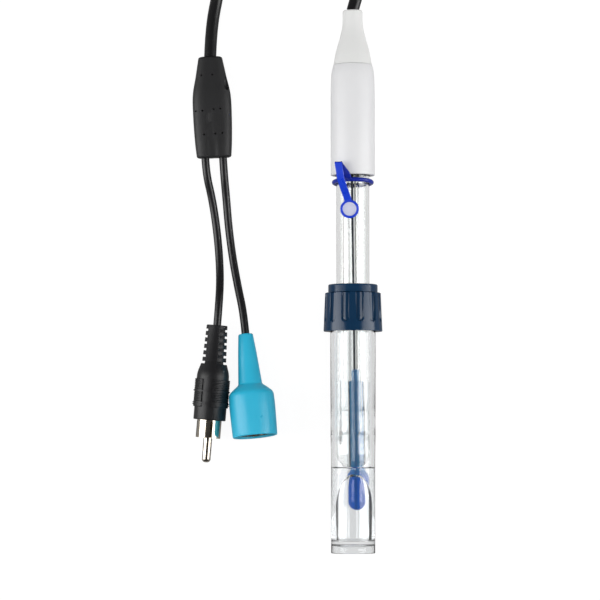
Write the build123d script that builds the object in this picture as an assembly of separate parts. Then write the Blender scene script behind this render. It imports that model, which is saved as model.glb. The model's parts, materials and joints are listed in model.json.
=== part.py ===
from build123d import *
from math import atan, cos, degrees, pi, radians, sin, tan
import os

# Combination glass electrode in its storage bottle, with cable, splitter and two plugs.
# The electrode is drawn upright on its own axis, with height 0 at the lower edge of the head and
# the cable end up, and is then laid down along +Y. Its front, drawn towards -Y, then faces up.
# Each plug is drawn along its own axis, from the lead's entry to the tip. Millimetres throughout.

# Fits
touch = 0.02            # between pieces that are fused, moulded or pressed together
running = 0.05          # between a piece that slides or turns and what guides it
loose = 0.15            # between soft pieces that turn on each other
liquid_gap = 0.3        # between the storage solution and what is pulled out of it

# Head and cable boot
head_radius = 8.05
head_wall = 1.6
head_roof = 2.4
head_straight = 30.5
head_shoulder = 10.2
head_top_radius = 7.1
shoulder_knee = 0.7           # where the shoulder bends, as a share of its length
shoulder_bulge = 0.25
boot_length = 20.1
boot_neck_radius = 3.65
boot_neck_length = 6.2
boot_stub_radius = 3.3
boot_rim_round = 1.0
boot_waist = 0.45             # how near its narrow end the cone still is at half its height
cable_diameter = 4.5
cable_in_head = 6.5     # how far the cable reaches below the head's top
core_diameter = 0.8
core_gather = 0.45            # how close together the cores come at the cable, as a share
sleeve_wall = 0.25
sleeve_length = 3.5
sleeve_start = 0.5            # from the end of the lead
lead_above_glass = 3.5
potting_recess = 1.0
potting_height = 14.0

# Glass stem
stem_radius = 6.0
stem_wall = 1.0
stem_below_head = 107.5
stem_in_head = 18.0
seal_height = 6.0
filling_hole_radius = 1.75
filling_hole_depth = 12.8     # below the head
junction_radius = 0.5
junction_length = 1.2
junction_angle = 33.0         # from the axis, seen from the middle of the dome
electrolyte_top = 75.4        # below the head
bubble_nose = 95.4
bubble_half_width = 2.8
bubble_nose_length = 3.4
bubble_depth = 1.6            # from the wall inwards

# Inner glass with the bulb, which leans a little inside the stem
inner_lean = 0.66
inner_radius = 2.25
inner_wall = 0.62
inner_above_head = 21.0
bulb_radius = 3.15
bulb_wall = 0.45
bulb_length = 14.6            # below the stem
bulb_neck = 3.0
gel_top = 71.4
gel_narrow_radius = 0.95
gel_narrow_length = 4.1
wire_radius = 0.25
wire_offset = 0.75
wire_end = 112.0
sensor_radius = 0.4
sensor_offset = -0.35
sensor_bead_radius = 0.75
sensor_bead_length = 4.0
sensor_above_bulb_end = 2.6
reference_offset = 3.4
reference_end = 98.0
reference_tip_radius = 0.45
reference_tip_length = 9.0

# Stopper: silicone ring on the stem, strap folded over, plug in the filling hole
band_depth = 2.5
band_section = 0.8
band_tilt = 4.5
strap_width = 2.7
strap_thickness = 0.9
strap_root_x = -1.9           # where the strap leaves the ring
strap_bow = 9.15              # how far the root stands out where it passes the head's edge
strap_bow_rise = 1.4          # from the ring to there
fold_place = (-5.4, -10.2, 3.7)
fold_radius = 0.45
fold_gap = 0.07
strap_path = [(-5.0, -1.5), (-3.9, -6.2), (-1.9, -9.8)]
strap_bulge = 9.9             # how far the free half stands out on its way down
strap_bulge_height = -3.5
plug_head_radius = 3.4
plug_head_thickness = 1.4
plug_recess_radius = 2.5
plug_recess_depth = 0.7
plug_offset = -1.3
peg_root_radius = 1.25
peg_tip_radius = 0.9
peg_length = 1.7

# Storage bottle, screw cap and gasket
cap_below_head = 39.9
cap_height = 17.1
cap_hole_gap = 0.4
cap_roof = 1.4
cap_bevel = 0.4
rim_band = 0.5
collar_radius = 9.0
collar_height = 3.0
collar_wall = 1.1
skirt_top_radius = 10.15
skirt_rim_radius = 10.7
skirt_bore_gap = 0.85         # room for the thread
rib_count = 12
rib_groove_width = 2.6
rib_groove_depth = 0.8
rib_groove_end = 3.6          # above the rim
rib_phase = 13.5
gasket_thickness = 2.5
neck_wall = 0.75
bottle_gap = 1.0              # between the stem and the bottle
bottle_wall_top = 1.3
bottle_wall_low = 1.0
bottle_below_cap = 80.6
bottle_shoulder = 0.6
bottle_taper_end = 0.6        # how far down the taper ends, as a share
foot_height = 3.4
floor_thickness = 1.1
solution_top = 106.9          # below the head
pocket_nose = 108.9
pocket_half_width = 6.4
pocket_nose_length = 12.8
pocket_floor = 0.2
pocket_level = 1.0            # behind the axis

# Cable coil, tie and splitter
coil_centre = (-19.0, 142.0)
coil_radius = 25.0            # middle of the turns
coil_lower_turns = 3
coil_upper_turns = 2
turn_rise = 3.9               # from one layer to the next
tie_width = 9.0
tie_thickness = 0.8
splitter_top = (-52.3, 82.4)
splitter_lean = 2.3
splitter_sections = [(0.0, 8.6, 6.8), (7.0, 11.2, 8.0), (14.0, 13.9, 8.8), (22.0, 14.2, 8.8),
                     (31.0, 13.6, 8.7), (37.2, 12.6, 7.8)]
splitter_corner = 0.42        # corner radius over thickness
lead_diameter = 2.9
lead_spacing = 6.5

# RCA plug, along its axis from the lead's entry
rca_entry = (-49.6, -16.15)
rca_lean = -4.65
rca_roll = 15.8
relief_length = 13.4
relief_top_radius = 3.8
relief_low_radius = 4.4
relief_rib_count = 6
relief_slot = 0.85
relief_spine = 4.7
shoulder_length = 4.4
rca_body_radius = 5.9
rca_body_length = 34.8
grip_start = 19.9
grip_length = 10.2
grip_proud = 0.5
grip_gap = 3.9
ground_radius = 4.5
ground_wall = 0.4
ground_proud = 6.5
ground_in_body = 6.0
ground_slot = 0.9
ground_slot_count = 4
ground_slot_turn = 60
ground_uncut = 0.5            # of the ring beyond the body
insulator_recess = 1.3
rca_pin_radius = 1.59
rca_pin_tail_radius = 1.2
rca_pin_round = 1.27
rca_pin_proud = 9.0           # beyond the ground ring

# BNC plug, along its axis from the lead's entry
bnc_entry = (-39.25, -19.4)
bnc_lean = 5.5
bnc_rise = 6.5                # mouth up: it rests on the shoulder of its boot
neck_length = 18.7
neck_top_radius = 2.65
neck_low_radius = 4.4
bnc_shoulder = 3.5
bnc_boot_radius = 8.4
bnc_boot_mouth_radius = 8.15
bnc_boot_length = 37.8
boot_edge_bevel = 0.4
coupling_radius = 7.25
coupling_bore = 5.0
coupling_set_back = 0.6
coupling_rear_wall = 1.0
coupling_length = 13.3
coupling_slot_width = 2.3
coupling_slot_depth = 0.8
coupling_slot_length = 8.0
shell_neck_radius = 2.6
shell_flange_radius = 4.85
shell_flange_thickness = 1.6
shell_sleeve_radius = 4.05
shell_sleeve_wall = 0.5
shell_set_back = 1.6
spring_thickness = 0.5
ferrule_wall = 0.5
ferrule_on_lead = 5.0
ferrule_on_neck = 5.2
dielectric_base = 2.5
dielectric_nose = 4.0
dielectric_nose_radius = 2.3
bnc_pin_radius = 0.68
bnc_pin_round = 0.45
bnc_pin_in_shell = 1.0
bnc_pin_set_back = 2.4
seal_ring_thickness = 0.9

# Hand-chosen routes of the free cable and leads: first and last points are worked out below
head_route = [(2.2, 107.5, 6.6), (6.6, 118.6, 4.6), (10.1, 130.2, 2.6), (10.5, 142.0, 2.25)]
split_route = [(-52.0, 93.6, 3.2), (-49.3, 107.2, 2.25), (-47.6, 119.3, 4.4), (-46.4, 131.0, 6.9),
               (-46.25, 142.0, 6.5)]
rca_route = [(-53.7, 39.3, 4.4), (-51.65, 30.6, 2.3), (-50.15, 21.0, 1.45), (-49.1, 11.2, 1.6),
             (-48.6, 1.4, 2.9), (-48.85, -7.1, 6.3)]
bnc_route = [(-47.2, 39.3, 4.4), (-46.4, 30.6, 2.3), (-45.6, 20.3, 1.45), (-44.1, 8.7, 1.6),
             (-42.0, -2.6, 3.2), (-40.02, -11.5, 5.02)]

nodes = {}


def turned(*outline):
    """A body turned about the upright axis from its half section of (radius, height) points."""
    corners = [(radius, 0, height) for radius, height in outline]
    return revolve(make_face(Polyline(*corners, close=True)), Axis.Z)


def ring(outer, inner, low, high):
    """A plain ring between two heights."""
    return turned((inner, low), (outer, low), (outer, high), (inner, high))


def rod(radius, low, high):
    """A plain round bar between two heights."""
    return turned((0, low), (radius, low), (radius, high), (0, high))


def bar_between(start, end, radius):
    """A round bar from one point to another."""
    line = Line(start, end)
    return sweep(Plane(start, z_dir=line % 0) * Circle(radius), path=line)


def point_at(place, x, y, z):
    """Where a point of a piece's own frame comes to lie."""
    return (place * Pos(x, y, z)).position


def slab(outline, start, depth):
    """A flat outline of (across, up) points, taken from y = start backwards by depth."""
    face = make_face(Polyline(*[(x, start, z) for x, z in outline], close=True))
    return extrude(face, depth, dir=(0, 1, 0))


def tongue_slab(half_width, nose_length, tip, end, front, back):
    """A flat tongue seen from the front, round at its tip and square at its end, between two depths."""
    centre = tip + nose_length if end > tip else tip - nose_length
    nose = Pos(0, centre) * Ellipse(half_width, nose_length)
    strip = Pos(0, (centre + end) / 2) * Rectangle(2 * half_width, abs(end - centre))
    return Pos(0, front, 0) * extrude(Plane.XZ * (nose + strip), back - front, dir=(0, 1, 0))


# Heights on the electrode's axis
head_top = head_straight + head_shoulder
boot_top = head_top + boot_length
cable_low = head_top - head_roof - cable_in_head
cap_top = -cap_below_head
cap_rim = cap_top - cap_height
gasket_top = cap_top - cap_roof - running
gasket_low = gasket_top - gasket_thickness
bottle_rim = gasket_low - running
bottle_end = cap_rim - bottle_below_cap
floor_low = bottle_end + foot_height
floor_top = floor_low + floor_thickness
dome_centre = stem_radius - stem_below_head
bulb_end = -stem_below_head - bulb_length
cable_radius = cable_diameter / 2
bottle_bore = stem_radius + bottle_gap
cap_bore = bottle_bore + neck_wall + skirt_bore_gap

# Head: hollow shell with a sloping shoulder, open underneath
shell_outline = [(0, 0), (head_radius, 0), (head_radius, head_straight),
                 ((head_radius + head_top_radius) / 2 + shoulder_bulge,
                  head_straight + shoulder_knee * head_shoulder),
                 (head_top_radius, head_top), (0, head_top)]
head_bore = head_radius - head_wall
hollow_top = head_top - head_roof
hollow_shoulder = hollow_top - head_shoulder
head_hollow = turned((0, -1), (head_bore, -1), (head_bore, hollow_shoulder),
                     (head_top_radius - head_wall, hollow_top), (0, hollow_top))
roof_hole = rod(boot_stub_radius + touch, hollow_top - 1, head_top + 1)
nodes["head_shell"] = turned(*shell_outline) - head_hollow - roof_hole

# Boot: soft cone on the head's top, with a stub through the roof and a bore for the cable
boot_neck = boot_top - boot_neck_length
boot_edge = boot_neck_radius - boot_rim_round
boot_outline = Polyline((0, boot_top), (boot_edge, boot_top))
boot_outline += CenterArc((boot_edge, boot_top - boot_rim_round), boot_rim_round, 0, 90)
boot_outline += Line((boot_neck_radius, boot_top - boot_rim_round), (boot_neck_radius, boot_neck))
boot_outline += Spline((boot_neck_radius, boot_neck),
                       (boot_waist * boot_neck_radius + (1 - boot_waist) * head_top_radius,
                        (boot_neck + head_top) / 2),
                       (head_top_radius, head_top + touch), tangents=[(0, -1), (0.25, -1)])
boot_outline += Polyline((head_top_radius, head_top + touch), (0, head_top + touch), (0, boot_top))
boot = revolve(Plane.XZ * make_face(boot_outline), Axis.Z)
boot += rod(boot_stub_radius, hollow_top, head_top + 1)
nodes["cable_boot"] = boot - rod(cable_radius + touch, hollow_top - 1, boot_top + 1)
nodes["cable_tail"] = rod(cable_radius, cable_low, boot_top)

# Resin ring between the stem and the head, set back from the head's lower edge
nodes["head_potting"] = ring(head_bore - touch, stem_radius + touch, potting_recess,
                             potting_recess + potting_height)

# Inner glass: tube that opens into the bulb, with its filling and leads
lean = Rotation(0, -inner_lean, 0)
bulb_top = -stem_below_head - bulb_neck / 2
bulb_middle = bulb_end + bulb_radius


def inner_form(shrink, bulb_shrink, top):
    """The inner glass's outside, or its bore when shrunk by the walls, as one turned body."""
    tube = inner_radius - shrink
    bulb = bulb_radius - bulb_shrink
    form = rod(tube, bulb_top, top)
    form += turned((0, bulb_top - bulb_neck), (bulb, bulb_top - bulb_neck), (tube, bulb_top), (0, bulb_top))
    form += rod(bulb, bulb_middle, bulb_top - bulb_neck)
    return form + Pos(0, 0, bulb_middle) * Sphere(bulb)


inner_bore = inner_form(inner_wall, bulb_wall, inner_above_head + 1)
nodes["inner_tube"] = lean * (inner_form(0, 0, inner_above_head) - inner_bore)

sensor_end = bulb_end + sensor_above_bulb_end
sensor_top = inner_above_head + lead_above_glass
bead_top = sensor_end + sensor_bead_length
sensor = Pos(sensor_offset, 0, 0) * (rod(sensor_radius, sensor_end + 1, sensor_top)
                                     + rod(sensor_bead_radius, sensor_end, bead_top))
wire = Pos(wire_offset, 0, 0) * rod(wire_radius, -wire_end, sensor_top)
nodes["temperature_sensor"] = lean * sensor
nodes["inner_wire"] = lean * wire

gel_bulk = inner_form(inner_wall + touch, bulb_wall + touch, -gel_top - gel_narrow_length)
gel_bulk += rod(gel_narrow_radius, -gel_top - gel_narrow_length - 1, -gel_top)
bead_room = rod(sensor_bead_radius + touch, sensor_end - touch, bead_top + touch)
sensor_room = Pos(sensor_offset, 0, 0) * (rod(sensor_radius + touch, sensor_end, 0) + bead_room)
wire_room = Pos(wire_offset, 0, 0) * rod(wire_radius + touch, -wire_end - touch, 0)
gel = gel_bulk - sensor_room - wire_room
nodes["inner_gel"] = lean * max(gel.solids(), key=lambda piece: piece.volume)

# Outer glass: tube with a domed end that is fused round the inner glass
stem_bore = stem_radius - stem_wall
stem = rod(stem_radius, dome_centre, stem_in_head) + Pos(0, 0, dome_centre) * Sphere(stem_radius)
stem_space = rod(stem_bore, dome_centre, stem_in_head + 1) + Pos(0, 0, dome_centre) * Sphere(stem_bore)
inner_room = lean * rod(inner_radius + touch, bulb_top - bulb_neck, inner_above_head + 1)
hole_place = (plug_offset, 0, -filling_hole_depth)
filling_hole = Location(hole_place, (90, 0, 0)) * Cylinder(filling_hole_radius, 2 * stem_radius,
                                                           align=(Align.CENTER, Align.CENTER, Align.MIN))
junction_turn = Location((0, 0, dome_centre), (0, 180 + junction_angle, 0))
junction_hole = junction_turn * rod(junction_radius + touch, stem_bore / 2, stem_radius + 1)
stem_glass = stem - stem_space - inner_room - filling_hole - junction_hole
nodes["stem_tube"] = max(stem_glass.solids(), key=lambda piece: piece.volume)

junction_bar = rod(junction_radius, stem_radius - junction_length, stem_radius + 1)
junction_ball = Pos(0, 0, dome_centre) * Sphere(stem_radius)
nodes["ceramic_junction"] = (junction_turn * junction_bar) & junction_ball

# Reference half cell: wire down the outer glass, its filling, and the soft plug at the top
reference_place = Pos(-reference_offset, 0, 0)
reference_top = stem_in_head + lead_above_glass
reference = rod(wire_radius, -reference_end, reference_top)
reference += rod(reference_tip_radius, -reference_end, reference_tip_length - reference_end)
nodes["reference_wire"] = reference_place * reference
reference_room = reference_place * rod(reference_tip_radius + touch, -reference_end - touch,
                                       reference_tip_length - reference_end + touch)
reference_room += reference_place * rod(wire_radius + touch, -reference_end, stem_in_head + 1)
seal = rod(stem_bore - touch, stem_in_head - seal_height, stem_in_head)
nodes["stem_seal"] = seal - inner_room - reference_room

electrolyte = rod(stem_bore - touch, dome_centre, -electrolyte_top)
electrolyte += Pos(0, 0, dome_centre) * Sphere(stem_bore - touch)
tongue = tongue_slab(bubble_half_width, bubble_nose_length, -bubble_nose, 1 - electrolyte_top,
                     -stem_radius, bubble_depth - stem_bore)
junction_room = junction_turn * rod(junction_radius + touch, stem_bore - junction_length, stem_radius)
electrolyte = electrolyte - tongue - inner_room - reference_room - junction_room
nodes["reference_electrolyte"] = max(electrolyte.solids(), key=lambda piece: piece.volume)

# Cores that fan out of the cable's end, and the shrunk sleeves over their joints
core_radius = core_diameter / 2
sleeve_bore = core_radius + running
cores = []
sleeves = []
for place in [point_at(lean, sensor_offset - core_radius, 0, sensor_top),
              point_at(lean, wire_offset + core_radius, 0, sensor_top),
              point_at(Pos(0, 0, 0), -reference_offset, 0, reference_top)]:
    core_low = Vector(place.X, 0, place.Z + touch)
    core_high = Vector(place.X * core_gather, 0, cable_low)
    along = (core_high - core_low).normalized()
    sleeve_low = core_low + along * sleeve_start
    sleeve_high = sleeve_low + along * sleeve_length
    sleeve = bar_between(sleeve_low, sleeve_high, sleeve_bore + sleeve_wall)
    cores.append(bar_between(core_low, core_high, core_radius))
    sleeves.append(sleeve - bar_between(core_low, core_high, sleeve_bore))
nodes["cable_cores"] = cores
nodes["core_sleeves"] = sleeves

# Stopper: ring on the stem with the root of its strap, and the strap's far half with the plug
fold_x, fold_y, fold_z = fold_place
half_strap = strap_width / 2
half_thick = strap_thickness / 2
band_middle = stem_radius + running + band_section
torus = Location((0, 0, -band_depth), (-band_tilt, 0, 0)) * Torus(band_middle, band_section)


def strap_part(across, standing):
    """A strip of strap: its middle seen from the front, (x, z), and from the side, (y, z)."""
    left = [(x - half_strap, z) for x, z in across]
    right = [(x + half_strap, z) for x, z in reversed(across)]
    near = [(0, y - half_thick, z) for y, z in standing]
    far = [(0, y + half_thick, z) for y, z in reversed(standing)]
    side = extrude(make_face(Polyline(*near, *far, close=True)), 4 * stem_radius, dir=(1, 0, 0), both=True)
    return slab(left + right, -4 * stem_radius, 8 * stem_radius) & side


ring_front = -band_depth + band_middle * sin(radians(band_tilt))
fold_axis = [(fold_x - half_strap, fold_y, fold_z), (fold_x + half_strap, fold_y, fold_z)]
root_path = [(fold_x, fold_z), (strap_root_x, ring_front + half_thick), (strap_root_x, ring_front)]
root_side = [(fold_y, fold_z), (-strap_bow, ring_front + strap_bow_rise), (-band_middle, ring_front)]
root_strap = strap_part(root_path, root_side)
nodes["stopper_band"] = torus + root_strap + bar_between(*fold_axis, fold_radius)

plug_z = -filling_hole_depth
plug_face = -stem_radius - touch - running
plug_rim = plug_z + plug_head_radius
free_start = fold_y - fold_radius - fold_gap - half_thick
plug_lip = plug_face - plug_head_thickness + half_thick
free_side = [(free_start, fold_z + fold_radius), (free_start, fold_z - fold_radius),
             (-strap_bulge, strap_bulge_height), (plug_lip, plug_rim), (plug_lip, plug_rim - half_thick)]
free_strap = strap_part([(fold_x, fold_z + fold_radius)] + strap_path, free_side)
plug = turned((0, -peg_length), (peg_tip_radius, -peg_length), (peg_root_radius, 0), (plug_head_radius, 0),
              (plug_head_radius, plug_head_thickness), (plug_recess_radius, plug_head_thickness),
              (plug_recess_radius, plug_head_thickness - plug_recess_depth),
              (0, plug_head_thickness - plug_recess_depth))
stopper = free_strap + Location((plug_offset, plug_face, plug_z), (90, 0, 0)) * plug
nodes["stopper_plug"] = max(stopper.solids(), key=lambda piece: piece.volume)

# Bottle: neck inside the cap, tapering body, floor set up inside a hollow foot
top_radius = bottle_bore + bottle_wall_top
low_radius = bottle_bore + bottle_wall_low
neck_radius = bottle_bore + neck_wall
shoulder_at = cap_rim - bottle_shoulder
taper_at = shoulder_at + (bottle_end - shoulder_at) * bottle_taper_end
bottle_form = turned((0, bottle_end), (low_radius, bottle_end), (low_radius, taper_at),
                     (top_radius, shoulder_at), (neck_radius, cap_rim + bottle_shoulder),
                     (neck_radius, bottle_rim), (0, bottle_rim))
nodes["bottle"] = (bottle_form - rod(bottle_bore, floor_top, 0)
                   - rod(bottle_bore, bottle_end - 1, floor_low))

# Storage solution with the air pocket that lies on its front side
solution = rod(bottle_bore - touch, floor_top + touch, -solution_top)
pocket = tongue_slab(pocket_half_width, pocket_nose_length, -pocket_nose, floor_top + pocket_floor,
                     -2 * bottle_bore, pocket_level)
stem_room = rod(stem_radius + liquid_gap, dome_centre, 0)
stem_room += Pos(0, 0, dome_centre) * Sphere(stem_radius + liquid_gap)
bulb_room = lean * (rod(bulb_radius + liquid_gap, bulb_middle, 0)
                    + Pos(0, 0, bulb_middle) * Sphere(bulb_radius + liquid_gap))
solution = solution - pocket - stem_room - bulb_room
nodes["storage_solution"] = max(solution.solids(), key=lambda piece: piece.volume)

# Gasket that grips the stem, and the ribbed screw cap over it
gasket_radius = collar_radius - collar_wall - running
nodes["cap_gasket"] = ring(gasket_radius, stem_radius + running, gasket_low, gasket_top)
skirt_top = cap_top - collar_height
cap_form = turned((0, cap_rim), (skirt_rim_radius, cap_rim), (skirt_rim_radius, cap_rim + rim_band),
                  (skirt_top_radius, skirt_top - cap_bevel), (skirt_top_radius - cap_bevel, skirt_top),
                  (collar_radius, skirt_top), (collar_radius, cap_top - cap_bevel),
                  (collar_radius - cap_bevel, cap_top), (0, cap_top))
cap_form -= rod(stem_radius + cap_hole_gap, cap_rim - 1, 1)
cap_form -= rod(collar_radius - collar_wall, cap_rim - 1, cap_top - cap_roof)
cap_form -= rod(cap_bore, cap_rim - 1, gasket_low - 2 * running)
groove_low = cap_rim + rib_groove_end
groove_reach = (rib_groove_width / 2) ** 2 / (2 * rib_groove_depth) + rib_groove_depth / 2
groove_bar = Cylinder(groove_reach, 2 * cap_height, align=(Align.CENTER, Align.CENTER, Align.MIN))
groove_bar += Sphere(groove_reach)
groove_centre = skirt_top_radius - rib_groove_depth + groove_reach
for number in range(rib_count):
    groove = Pos(0, -groove_centre, groove_low + rib_groove_width / 2) * groove_bar
    cap_form -= Rotation(0, 0, rib_phase + 360 * number / rib_count) * groove
nodes["bottle_cap"] = cap_form

# Laying down: the cap's rim and the head's shoulder touch the surface
electrode_nodes = list(nodes)
rest_angle = degrees(atan((skirt_rim_radius - head_radius) / (head_straight - cap_rim)))
axis_height = head_radius * cos(radians(rest_angle)) + head_straight * sin(radians(rest_angle))
laid = Location((0, 0, axis_height), (-90 - rest_angle, 0, 0))
reach = Compound([laid * nodes[name] for name in ("cable_boot", "bottle")]).bounding_box()
laid = Pos(0, -(reach.min.Y + reach.max.Y) / 2, 0) * laid
for name in electrode_nodes:
    pieces = nodes[name]
    if isinstance(pieces, list):
        nodes[name] = [laid * piece for piece in pieces]
    else:
        nodes[name] = laid * pieces

# Coil of the spare cable, lying flat, with the tie let into it
lower_half = coil_lower_turns * cable_diameter / 2
upper_half = coil_upper_turns * cable_diameter / 2


def coil_form(shrink):
    """The coil's outer shape, or its core under the tie."""
    low = coil_radius - lower_half + shrink
    high = coil_radius + lower_half - shrink
    top = turn_rise + cable_diameter - shrink
    return turned((low, shrink), (high, shrink), (high, cable_diameter),
                  (coil_radius + upper_half - shrink, top), (coil_radius - upper_half + shrink, top),
                  (low, cable_diameter))


coil_place = Pos(coil_centre[0], coil_centre[1], 0)
tie_zone = Pos(0, coil_radius, 0) * Box(tie_width, coil_radius, 8 * cable_diameter)
tie = (coil_form(0) & tie_zone) - coil_form(tie_thickness)
nodes["coil_tie"] = coil_place * tie
nodes["cable_coil"] = coil_place * (coil_form(0) - tie)


def plug_plane(place, height, lean_angle, rise=0.0):
    """Frame of a piece that lies on its lead: up stays up, and its own axis points down the picture."""
    flat = Vector(sin(radians(lean_angle)), -cos(radians(lean_angle)), 0)
    axis = flat * cos(radians(rise)) + Vector(0, 0, sin(radians(rise)))
    across = Vector(cos(radians(lean_angle)), sin(radians(lean_angle)), 0)
    return Plane(origin=(place[0], place[1], height), x_dir=across, z_dir=axis)


# Splitter, moulded over the cable's end and the start of both leads
splitter_height = max(thickness for _, _, thickness in splitter_sections) / 2
splitter_frame = plug_plane(splitter_top, splitter_height, splitter_lean)
profiles = []
for along, width, thickness in splitter_sections:
    profiles.append(Pos(0, 0, along) * RectangleRounded(width, thickness, splitter_corner * thickness))
nodes["splitter"] = splitter_frame.location * loft(profiles)
splitter_length = splitter_sections[-1][0]
rca_start = point_at(splitter_frame.location, -lead_spacing / 2, 0, splitter_length)
bnc_start = point_at(splitter_frame.location, lead_spacing / 2, 0, splitter_length)
lead_radius = lead_diameter / 2

# RCA plug: moulded body with a slotted strain relief and grip panels
rca_height = rca_body_radius + grip_proud
rca_frame = plug_plane(rca_entry, rca_height, rca_lean).location
ring_end = rca_body_length + ground_proud
body_outline = [(0, 0), (relief_top_radius, 0), (relief_low_radius, relief_length),
                (rca_body_radius, relief_length + shoulder_length), (rca_body_radius, rca_body_length),
                (0, rca_body_length)]
rca_body = turned(*body_outline)
rib_pitch = (relief_length + relief_slot) / relief_rib_count
for number in range(1, relief_rib_count + 1):
    for side in (-1, 1):
        cut_middle = side * (relief_spine / 2 + relief_low_radius)
        cut = Box(2 * relief_low_radius, 3 * relief_low_radius, relief_slot)
        rca_body -= Pos(cut_middle, 0, number * rib_pitch - relief_slot / 2) * cut
grip = ring(rca_body_radius + grip_proud, rca_body_radius - 1, grip_start, grip_start + grip_length)
grip -= Pos(0, 0, grip_start) * Box(grip_gap, 4 * rca_body_radius, 3 * grip_length)
rca_body += grip
rca_body -= rod(ground_radius + touch, rca_body_length - ground_in_body, rca_body_length + 1)
rca_turn = rca_frame * Rotation(0, 0, rca_roll)
nodes["rca_body"] = rca_turn * rca_body

ground_low = rca_body_length - ground_in_body + touch
ground = ring(ground_radius, ground_radius - ground_wall, ground_low, ring_end)
slot_length = ground_proud - ground_uncut
for number in range(ground_slot_count):
    slot = Pos(0, ground_radius, ring_end) * Box(ground_slot, 2 * ground_radius, 2 * slot_length)
    ground -= Rotation(0, 0, ground_slot_turn + 360 * number / ground_slot_count) * slot
nodes["rca_ground_ring"] = rca_turn * ground
insulator_end = rca_body_length - insulator_recess
insulator = rod(ground_radius - ground_wall - touch, ground_low, insulator_end)
nodes["rca_insulator"] = rca_turn * (insulator - rod(rca_pin_tail_radius + touch, 0, rca_body_length))
pin_end = ring_end + rca_pin_proud
pin = rod(rca_pin_tail_radius, ground_low, insulator_end + 1)
pin += rod(rca_pin_radius, insulator_end + touch, pin_end)
pin = fillet(pin.edges().group_by(Axis.Z)[-1], rca_pin_round)
nodes["rca_pin"] = rca_turn * pin

# BNC plug: soft boot and coupling ring that turn together on the fixed inner parts
shoulder_z = bnc_boot_radius * cos(radians(bnc_rise))
bnc_height = shoulder_z - (neck_length + bnc_shoulder) * sin(radians(bnc_rise))
bnc_frame = plug_plane(bnc_entry, bnc_height, bnc_lean, bnc_rise).location
coupling_end = bnc_boot_length - coupling_set_back
coupling_start = coupling_end - coupling_length
flange_back = coupling_start + coupling_rear_wall + running + spring_thickness + running
flange_front = flange_back + shell_flange_thickness
shell_end = bnc_boot_length - shell_set_back
ferrule_radius = shell_neck_radius + touch + ferrule_wall
ferrule_end = coupling_start - loose
shell_back = ferrule_end - ferrule_on_neck
ferrule_start = shell_back - ferrule_on_lead
boot_body_start = neck_length + bnc_shoulder
bnc_boot = turned((0, 0), (neck_top_radius - boot_edge_bevel, 0), (neck_top_radius, boot_edge_bevel),
                  (neck_low_radius, neck_length), (bnc_boot_radius, boot_body_start),
                  (bnc_boot_mouth_radius, bnc_boot_length - boot_edge_bevel),
                  (bnc_boot_mouth_radius - boot_edge_bevel, bnc_boot_length), (0, bnc_boot_length))
bnc_boot -= rod(lead_radius + loose, -1, boot_body_start)
bnc_boot -= rod(ferrule_radius + loose, ferrule_start - loose, coupling_start)
bnc_boot -= rod(coupling_radius + touch, coupling_start - touch, bnc_boot_length + 1)
nodes["bnc_boot"] = bnc_frame * bnc_boot

coupling = ring(coupling_radius, shell_neck_radius + loose, coupling_start, coupling_end)
coupling -= rod(coupling_bore, coupling_start + coupling_rear_wall, coupling_end + 1)
for side in (-1, 1):
    slot_place = Pos(0, side * coupling_bore, coupling_end)
    coupling -= slot_place * Box(coupling_slot_width, 2 * coupling_slot_depth, 2 * coupling_slot_length)
nodes["bnc_coupling_ring"] = bnc_frame * coupling

spring_low = coupling_start + coupling_rear_wall + running
nodes["bnc_spring"] = bnc_frame * ring(shell_flange_radius - loose, shell_neck_radius + loose, spring_low,
                                       spring_low + spring_thickness)
pin_back = shell_back + bnc_pin_in_shell
bnc_shell = rod(shell_neck_radius, shell_back, flange_front)
bnc_shell += rod(shell_flange_radius, flange_back, flange_front)
bnc_shell += ring(shell_sleeve_radius, shell_sleeve_radius - shell_sleeve_wall, flange_back, shell_end)
bnc_shell -= rod(bnc_pin_radius + touch, pin_back - touch, flange_front + 1)
nodes["bnc_body"] = bnc_frame * bnc_shell
ferrule = ring(ferrule_radius, shell_neck_radius + touch, shell_back, ferrule_end - touch)
ferrule += ring(ferrule_radius, lead_radius + touch, ferrule_start, shell_back)
nodes["bnc_ferrule"] = bnc_frame * ferrule
sleeve_inside = shell_sleeve_radius - shell_sleeve_wall - touch
dielectric = rod(sleeve_inside, flange_front + touch, flange_front + dielectric_base)
dielectric_end = flange_front + dielectric_base + dielectric_nose
dielectric += rod(dielectric_nose_radius, flange_front + 1, dielectric_end)
dielectric -= rod(bnc_pin_radius + touch, 0, bnc_boot_length)
nodes["bnc_insulator"] = bnc_frame * dielectric
bnc_pin_end = bnc_boot_length - bnc_pin_set_back
bnc_pin = rod(bnc_pin_radius, pin_back, bnc_pin_end)
bnc_pin = fillet(bnc_pin.edges().group_by(Axis.Z)[-1], bnc_pin_round)
nodes["bnc_pin"] = bnc_frame * bnc_pin
nodes["bnc_gasket"] = bnc_frame * ring(shell_flange_radius - loose, shell_sleeve_radius + touch,
                                       flange_front + touch, flange_front + seal_ring_thickness)
nodes["bnc_lead_tail"] = bnc_frame * rod(lead_radius, 0, shell_back - touch)


def cord_tube(name, points, radius):
    """A round cord along straight runs joined by tangent arcs, as large as the runs allow."""
    corners = [Vector(*point) for point in points]
    radii = []
    for before, corner, after in zip(corners, corners[1:], corners[2:]):
        turn = (corner - before).get_angle(after - corner)
        shorter = min((corner - before).length, (after - corner).length)
        radii.append(0.45 * shorter / tan(radians(turn / 2)))
    path = FilletPolyline(*corners, radius=radii)
    tube = sweep(Plane(corners[0], z_dir=path % 0) * Circle(radius), path=path)
    print(name, "length", round(path.length, 1), "tightest bend", round(min(radii), 1),
          "volume over section times length", round(tube.volume / (pi * radius ** 2 * path.length), 4))
    return tube


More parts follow.
